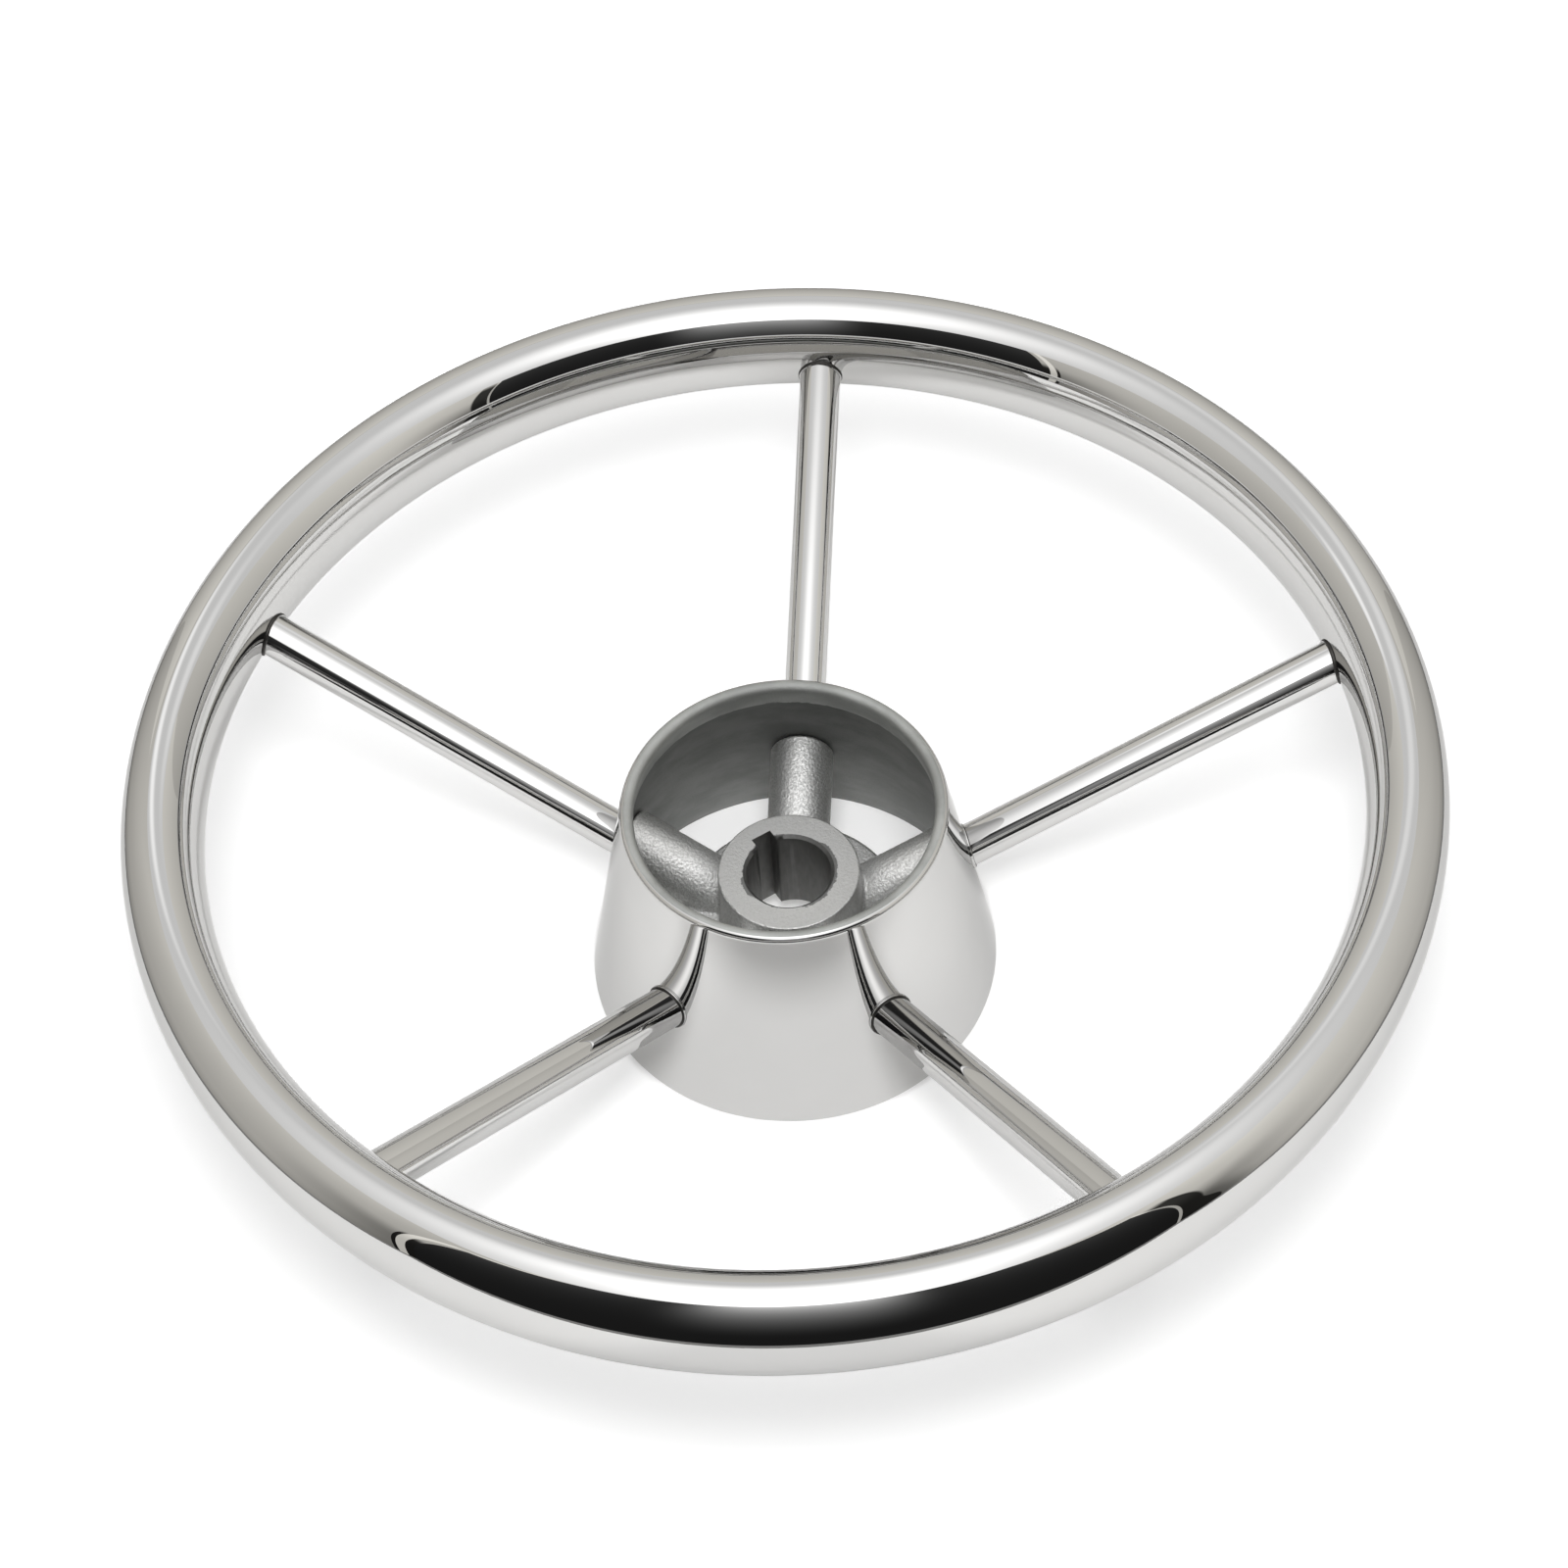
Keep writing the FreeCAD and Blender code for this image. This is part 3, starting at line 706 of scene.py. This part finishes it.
# Mirrors see the sheet with a painted glow, brighter beside and behind the cone than in front of it
MIRRORED_GLOW = 0.23
MIRRORED_GLOW_ASIDE = 0.42
MIRRORED_GLOW_EDGE_SHADOW = 0.25
# The camera sees the sheet glow brighter towards the back: this keeps the far floor white and is painted
# light over the rim's shadow there
SEEN_GLOW = 0.42
SEEN_GLOW_BACK = 0.61
# Painted shade: the camera sees the sheet darker inside the cone's foot and in a thin ring round it
SEEN_GLOW_FOOT = 0.22
FOOT_SHADE = 0.0016


def stage_piece(name, tent, place, material):
    """Makes the primitive that was just added a card that only shiny surfaces see. Its mesh holds its
    place in the tent."""
    card = named(name)
    card.data.transform(place)
    card.matrix_world = tent
    card.data.materials.append(material)
    card.visible_camera = False
    card.visible_diffuse = False
    card.visible_transmission = False
    card.visible_volume_scatter = False
    card.visible_shadow = False


def stage_card(name, tent, place, size, material):
    deselect()
    bpy.ops.mesh.primitive_plane_add(size=1)
    stage_piece(name, tent, place @ Matrix.Diagonal((size[0], size[1], 1, 1)), material)


def stage_disc(name, tent, place, radius, material):
    deselect()
    bpy.ops.mesh.primitive_circle_add(vertices=96, radius=radius, fill_type="NGON")
    stage_piece(name, tent, Matrix.Translation(place), material)


def glow(recipe, strength, colour=WHITE):
    made = recipe.node("ShaderNodeEmission", Strength=strength, Color=colour)
    return recipe.shader(made.outputs[0])


def hump(recipe, value, width, power):
    """Falls from 1 at nothing to about a third at the width, the flatter on top the higher the power."""
    share = recipe.maths("DIVIDE", recipe.maths("ABSOLUTE", value), width)
    return recipe.maths("EXPONENT", recipe.maths("MULTIPLY", recipe.maths("POWER", share, power), -1.0))


def between(recipe, value, low, high):
    """1 from the low to the high value, 0 outside."""
    above = recipe.maths("GREATER_THAN", value, low)
    return recipe.maths("MULTIPLY", above, recipe.maths("LESS_THAN", value, high))


def room_material():
    """The dark room in front of the tent, with the soft light's glow over the camera."""
    recipe = Recipe("dark room")
    x, y, z = recipe.split(recipe.place())
    rise = recipe.maths("MAXIMUM", recipe.maths("ADD", z, 0.1), 0.0)
    rise = recipe.maths("MULTIPLY", rise, rise)
    across = recipe.maths("ADD", hump(recipe, x, 0.18, 4.0), 0.04)
    return glow(recipe, recipe.maths("MULTIPLY_ADD", across, rise, 0.015))


def front_corners(recipe, x, y, z):
    """Gaps of the tent beside its open front: a narrow one on the left, a wide one on the right."""
    left = recipe.maths("LESS_THAN", x, 0.0)
    narrow = recipe.maths("MAXIMUM", between(recipe, y, *LEFT_SLIT), recipe.maths("LESS_THAN", y, LEFT_GAP))
    narrow = recipe.maths("MULTIPLY", narrow, recipe.span(z, 0.3, 0.5, 1.0, 0.0))
    slanted = recipe.maths("SUBTRACT", y, recipe.span(z, -0.2, 0.08, 0.07, 0.0))
    wide = recipe.span(slanted, *RIGHT_GAP, 1.0, 0.0)
    shade = recipe.span(slanted, *RIGHT_SHADE, 0.6, 0.0)
    shade = recipe.maths("MULTIPLY", shade, recipe.span(z, 0.0, 0.25, 1.0, 0.0))
    wide = recipe.maths("MAXIMUM", wide, shade)
    wide = recipe.maths("MULTIPLY", wide, recipe.span(z, 0.7, 0.95, 1.0, 0.0))
    gap = recipe.span(left, 0.0, 1.0, wide, narrow)
    return recipe.span(gap, 0.0, 1.0, 1.0, GAP_SHARE, smooth=False)


def front_poles(recipe, x, y):
    """Pale edges of the tent's front, one in each corner."""
    left = recipe.maths("MULTIPLY", recipe.maths("LESS_THAN", x, 0.0), between(recipe, y, *LEFT_POLE))
    right = recipe.maths("MULTIPLY", recipe.maths("GREATER_THAN", x, 0.0), between(recipe, y, *RIGHT_POLE))
    return recipe.maths("ADD", left, right)


def wall_material():
    """The tent's cloth: lighter upwards, at the back and on the right towards the front, darker below the
    sheet and in the back corners."""
    recipe = Recipe("tent cloth")
    x, y, z = recipe.split(recipe.place())
    strength = recipe.span(z, 0.0, TENT_HIGH, 0.6, 0.84, smooth=False)
    low = recipe.span(z, -0.35, -0.06, 0.75, 1.0)
    forward = recipe.span(y, 0.5, -0.15, 0.0, 0.24, smooth=False)
    sideways = recipe.maths("MULTIPLY_ADD", recipe.span(x, 0.0, TENT_SIDE), forward, 1.0)
    corner = recipe.span(y, 0.4, 0.88, 1.0, 0.86)
    on_back = recipe.maths("GREATER_THAN", y, TENT_BACK - 0.001)
    back = recipe.maths("MULTIPLY_ADD", on_back, 0.22, corner)
    frontal = recipe.span(y, TENT_FRONT, TENT_FRONT + 0.5, recipe.span(z, 0.1, 0.5, 0.38, 0.85), 1.0)
    for factor in (low, sideways, back, frontal, front_corners(recipe, x, y, z)):
        strength = recipe.maths("MULTIPLY", strength, factor)
    strength = recipe.maths("MULTIPLY_ADD", front_poles(recipe, x, y), POLE_GLOW, strength)
    return glow(recipe, strength, CLOTH_TINT)


def ceiling_material():
    """The soft light overhead, strongest over the front of the wheel, with two small lamps behind it."""
    recipe = Recipe("soft light")
    x, y, z = recipe.split(recipe.place())
    share = recipe.maths("POWER", recipe.maths("DIVIDE", recipe.maths("ABSOLUTE", x), LIGHT_WIDTH), 2.6)
    across = recipe.maths("DIVIDE", LIGHT_PEAK, recipe.maths("ADD", share, 1.0))
    light = recipe.maths("MULTIPLY_ADD", across, recipe.span(y, 0.22, -0.14), LIGHT_BASE)
    for (east, north), radius, gain in SMALL_LAMPS:
        far = recipe.length(recipe.maths("SUBTRACT", x, east), recipe.maths("SUBTRACT", y, north))
        light = recipe.maths("MULTIPLY_ADD", hump(recipe, far, radius, 3.0), gain, light)
    return glow(recipe, light)


def floor_material(foot_radius):
    """White sheet. Shiny surfaces see it only near the wheel, where the real sheet lay, with a painted glow
    that is brighter beside and behind the cone and a painted shadow band past its edge. The camera sees it
    with a painted glow that rises towards the back, and darker at the cone's foot, a painted shade."""
    recipe = Recipe("white sheet")
    x, y, z = recipe.split(recipe.place())
    rays = recipe.node("ShaderNodeLightPath").outputs
    glossy = rays["Is Glossy Ray"]
    across = recipe.maths("ABSOLUTE", x)
    reach = recipe.maths("MAXIMUM", across, recipe.maths("ABSOLUTE", y))
    beyond = recipe.maths("GREATER_THAN", reach, SHEET_EDGE + SHEET_EDGE_SHADOW_WIDTH)
    on_sheet = recipe.maths("LESS_THAN", reach, SHEET_EDGE)
    # Painted light for mirrors: the sheet glows more beside and behind the cone
    aside = recipe.maths("MAXIMUM", recipe.span(across, 0.035, 0.08), recipe.span(y, 0.0, 0.06))
    near_glow = recipe.span(aside, 0.0, 1.0, MIRRORED_GLOW, MIRRORED_GLOW_ASIDE, smooth=False)
    mirrored = recipe.span(on_sheet, 0.0, 1.0, MIRRORED_GLOW_EDGE_SHADOW, near_glow)
    mirrored = recipe.maths("MULTIPLY", glossy, mirrored)
    # Painted light: the glow rises towards the back, over the rim's shadow there
    open_floor = recipe.span(y, -0.06, 0.19, SEEN_GLOW, SEEN_GLOW_BACK)
    radius = recipe.length(x, y)
    # Painted shade: darker inside the cone's foot and in a thin ring round it
    seen = recipe.span(radius, foot_radius, foot_radius + FOOT_SHADE, SEEN_GLOW_FOOT, open_floor)
    seen = recipe.maths("MULTIPLY", rays["Is Camera Ray"], seen)
    # The band past the sheet's edge, for mirrors: painted shadow of the sheet's hanging edge
    hem = recipe.maths("MULTIPLY", glossy, recipe.maths("SUBTRACT", 1.0, on_sheet))
    cloth = recipe.node("ShaderNodeBsdfDiffuse", Color=recipe.blend(hem, SHEET_COLOUR, SHEET_EDGE_SHADOW_COLOUR))
    shine = recipe.node("ShaderNodeEmission", Strength=recipe.maths("ADD", mirrored, seen),
                        Color=recipe.blend(glossy, WHITE, SHEET_TINT))
    lit = recipe.node("ShaderNodeAddShader")
    recipe.feed(lit.inputs[0], cloth.outputs[0])
    recipe.feed(lit.inputs[1], shine.outputs[0])
    mixed = recipe.node("ShaderNodeMixShader")
    recipe.feed(mixed.inputs[0], recipe.maths("MULTIPLY", beyond, glossy))
    recipe.feed(mixed.inputs[1], lit.outputs[0])
    recipe.feed(mixed.inputs[2], recipe.node("ShaderNodeBsdfTransparent").outputs[0])
    return recipe.shader(mixed.outputs[0])


def pale_world():
    """White behind the floor for the camera, and a weak even light for dull surfaces."""
    world = bpy.data.worlds.new("studio")
    bpy.context.scene.world = world
    world.use_nodes = True
    tree = world.node_tree
    tree.nodes.clear()
    output = tree.nodes.new("ShaderNodeOutputWorld")
    background = tree.nodes.new("ShaderNodeBackground")
    background.inputs["Color"].default_value = WHITE
    rays = tree.nodes.new("ShaderNodeLightPath")
    dull = tree.nodes.new("ShaderNodeMapRange")
    tree.links.new(rays.outputs["Is Diffuse Ray"], dull.inputs["Value"])
    dull.inputs["To Min"].default_value = 1.0
    dull.inputs["To Max"].default_value = EVEN_LIGHT
    tree.links.new(dull.outputs[0], background.inputs["Strength"])
    tree.links.new(background.outputs[0], output.inputs["Surface"])


def sheet_lamp(tent):
    """The lamp that throws the wheel's soft shadow on the sheet. Shiny surfaces don't see it."""
    data = bpy.data.lights.new("lamp", "AREA")
    data.shape = "DISK"
    data.size = LAMP_SIZE
    data.energy = LAMP_POWER
    lamp = bpy.data.objects.new("lamp", data)
    bpy.context.collection.objects.link(lamp)
    place = Vector(LAMP_PLACE)
    turn = place.to_track_quat("Z", "Y").to_matrix().to_4x4()
    lamp.matrix_world = tent @ Matrix.Translation(place) @ turn
    lamp.visible_glossy = False
    lamp.visible_camera = False


def photo_camera(sizes, studio):
    """The camera, where the one of the photo stood."""
    data = bpy.data.cameras.new("camera")
    data.lens = studio.focal_length
    data.sensor_width = 36
    data.clip_start = 0.01
    camera = bpy.data.objects.new("camera", data)
    bpy.context.collection.objects.link(camera)
    tilt = Matrix.Rotation(math.pi / 2 - studio.elevation, 4, "X")
    turn = Matrix.Rotation(studio.azimuth, 4, "Z") @ tilt @ Matrix.Rotation(studio.roll, 4, "Z")
    aim = Vector((studio.aim[0], studio.aim[1], -studio.distance))
    place = Vector((0, 0, sizes.rim_height)) - turn.to_3x3() @ aim
    camera.matrix_world = Matrix.Translation(place) @ turn
    bpy.context.scene.camera = camera


class BOATWHEEL_OT_stage(bpy.types.Operator):
    """Set up the floor, the light tent, the world and the camera"""
    bl_idname = "boatwheel.stage"
    bl_label = "Stage"

    def execute(self, context):
        sizes = context.scene.boat_wheel
        studio = context.scene.boat_wheel_studio
        tent = Matrix.Rotation(studio.tent_turn, 4, "Z")
        deselect()
        bpy.ops.mesh.primitive_plane_add(size=FLOOR_SIZE)
        floor = named("floor")
        floor.matrix_world = tent
        floor.data.materials.append(floor_material(sizes.foot_radius))
        middle = (TENT_LOW + TENT_HIGH) / 2
        centre = (TENT_FRONT + TENT_BACK) / 2
        tall = TENT_HIGH - TENT_LOW
        deep = TENT_BACK - TENT_FRONT
        upright = Matrix.Rotation(math.pi / 2, 4, "X")
        sideways = Matrix.Rotation(math.pi / 2, 4, "Z") @ upright
        cloth = wall_material()
        wide = 2 * TENT_SIDE
        ends = (("dark_room", TENT_FRONT, room_material()), ("back_cloth", TENT_BACK, cloth))
        for name, north, material in ends:
            place = Matrix.Translation((0, north, middle)) @ upright
            stage_card(name, tent, place, (wide, tall), material)
        for name, east in (("left_cloth", -TENT_SIDE), ("right_cloth", TENT_SIDE)):
            place = Matrix.Translation((east, centre, middle)) @ sideways
            stage_card(name, tent, place, (deep, tall), cloth)
        stage_card("top_cloth", tent, Matrix.Translation((0, centre, TENT_HIGH)), (wide, deep), cloth)
        stage_disc("soft_light", tent, (0, 0, DISC_HEIGHT), DISC_RADIUS, ceiling_material())
        sheet_lamp(tent)
        pale_world()
        photo_camera(sizes, studio)
        context.scene.view_settings.view_transform = "Standard"
        return {"FINISHED"}


class BOATWHEEL_PT_panel(bpy.types.Panel):
    """Lists the wheel's sizes, finishes and operators"""
    bl_idname = "BOATWHEEL_PT_panel"
    bl_label = "Boat Wheel"
    bl_space_type = "VIEW_3D"
    bl_region_type = "UI"
    bl_category = "Boat Wheel"

    def draw(self, context):
        layout = self.layout
        for operator in OPERATORS:
            layout.operator(operator.bl_idname)
        scene = context.scene
        for group in (scene.boat_wheel, scene.boat_wheel_finish, scene.boat_wheel_studio):
            box = layout.box()
            for name in group.bl_rna.properties.keys():
                if name not in ("name", "rna_type"):
                    box.prop(group, name)


OPERATORS = (BOATWHEEL_OT_rim, BOATWHEEL_OT_spokes, BOATWHEEL_OT_hub_cone, BOATWHEEL_OT_spider,
             BOATWHEEL_OT_welds, BOATWHEEL_OT_stage)
CLASSES = (WheelSizes, WheelFinish, WheelStudio) + OPERATORS + (BOATWHEEL_PT_panel,)


def register():
    for kind in CLASSES:
        bpy.utils.register_class(kind)
    bpy.types.Scene.boat_wheel = PointerProperty(type=WheelSizes)
    bpy.types.Scene.boat_wheel_finish = PointerProperty(type=WheelFinish)
    bpy.types.Scene.boat_wheel_studio = PointerProperty(type=WheelStudio)


def unregister():
    del bpy.types.Scene.boat_wheel_studio
    del bpy.types.Scene.boat_wheel_finish
    del bpy.types.Scene.boat_wheel
    for kind in reversed(CLASSES):
        bpy.utils.unregister_class(kind)


def main():
    register()
    bpy.ops.boatwheel.rim()
    bpy.ops.boatwheel.spokes()
    bpy.ops.boatwheel.hub_cone()
    bpy.ops.boatwheel.spider()
    bpy.ops.boatwheel.welds()
    bpy.ops.boatwheel.stage()
    bpy.context.view_layer.update()


if __name__ == "__main__":
    main()
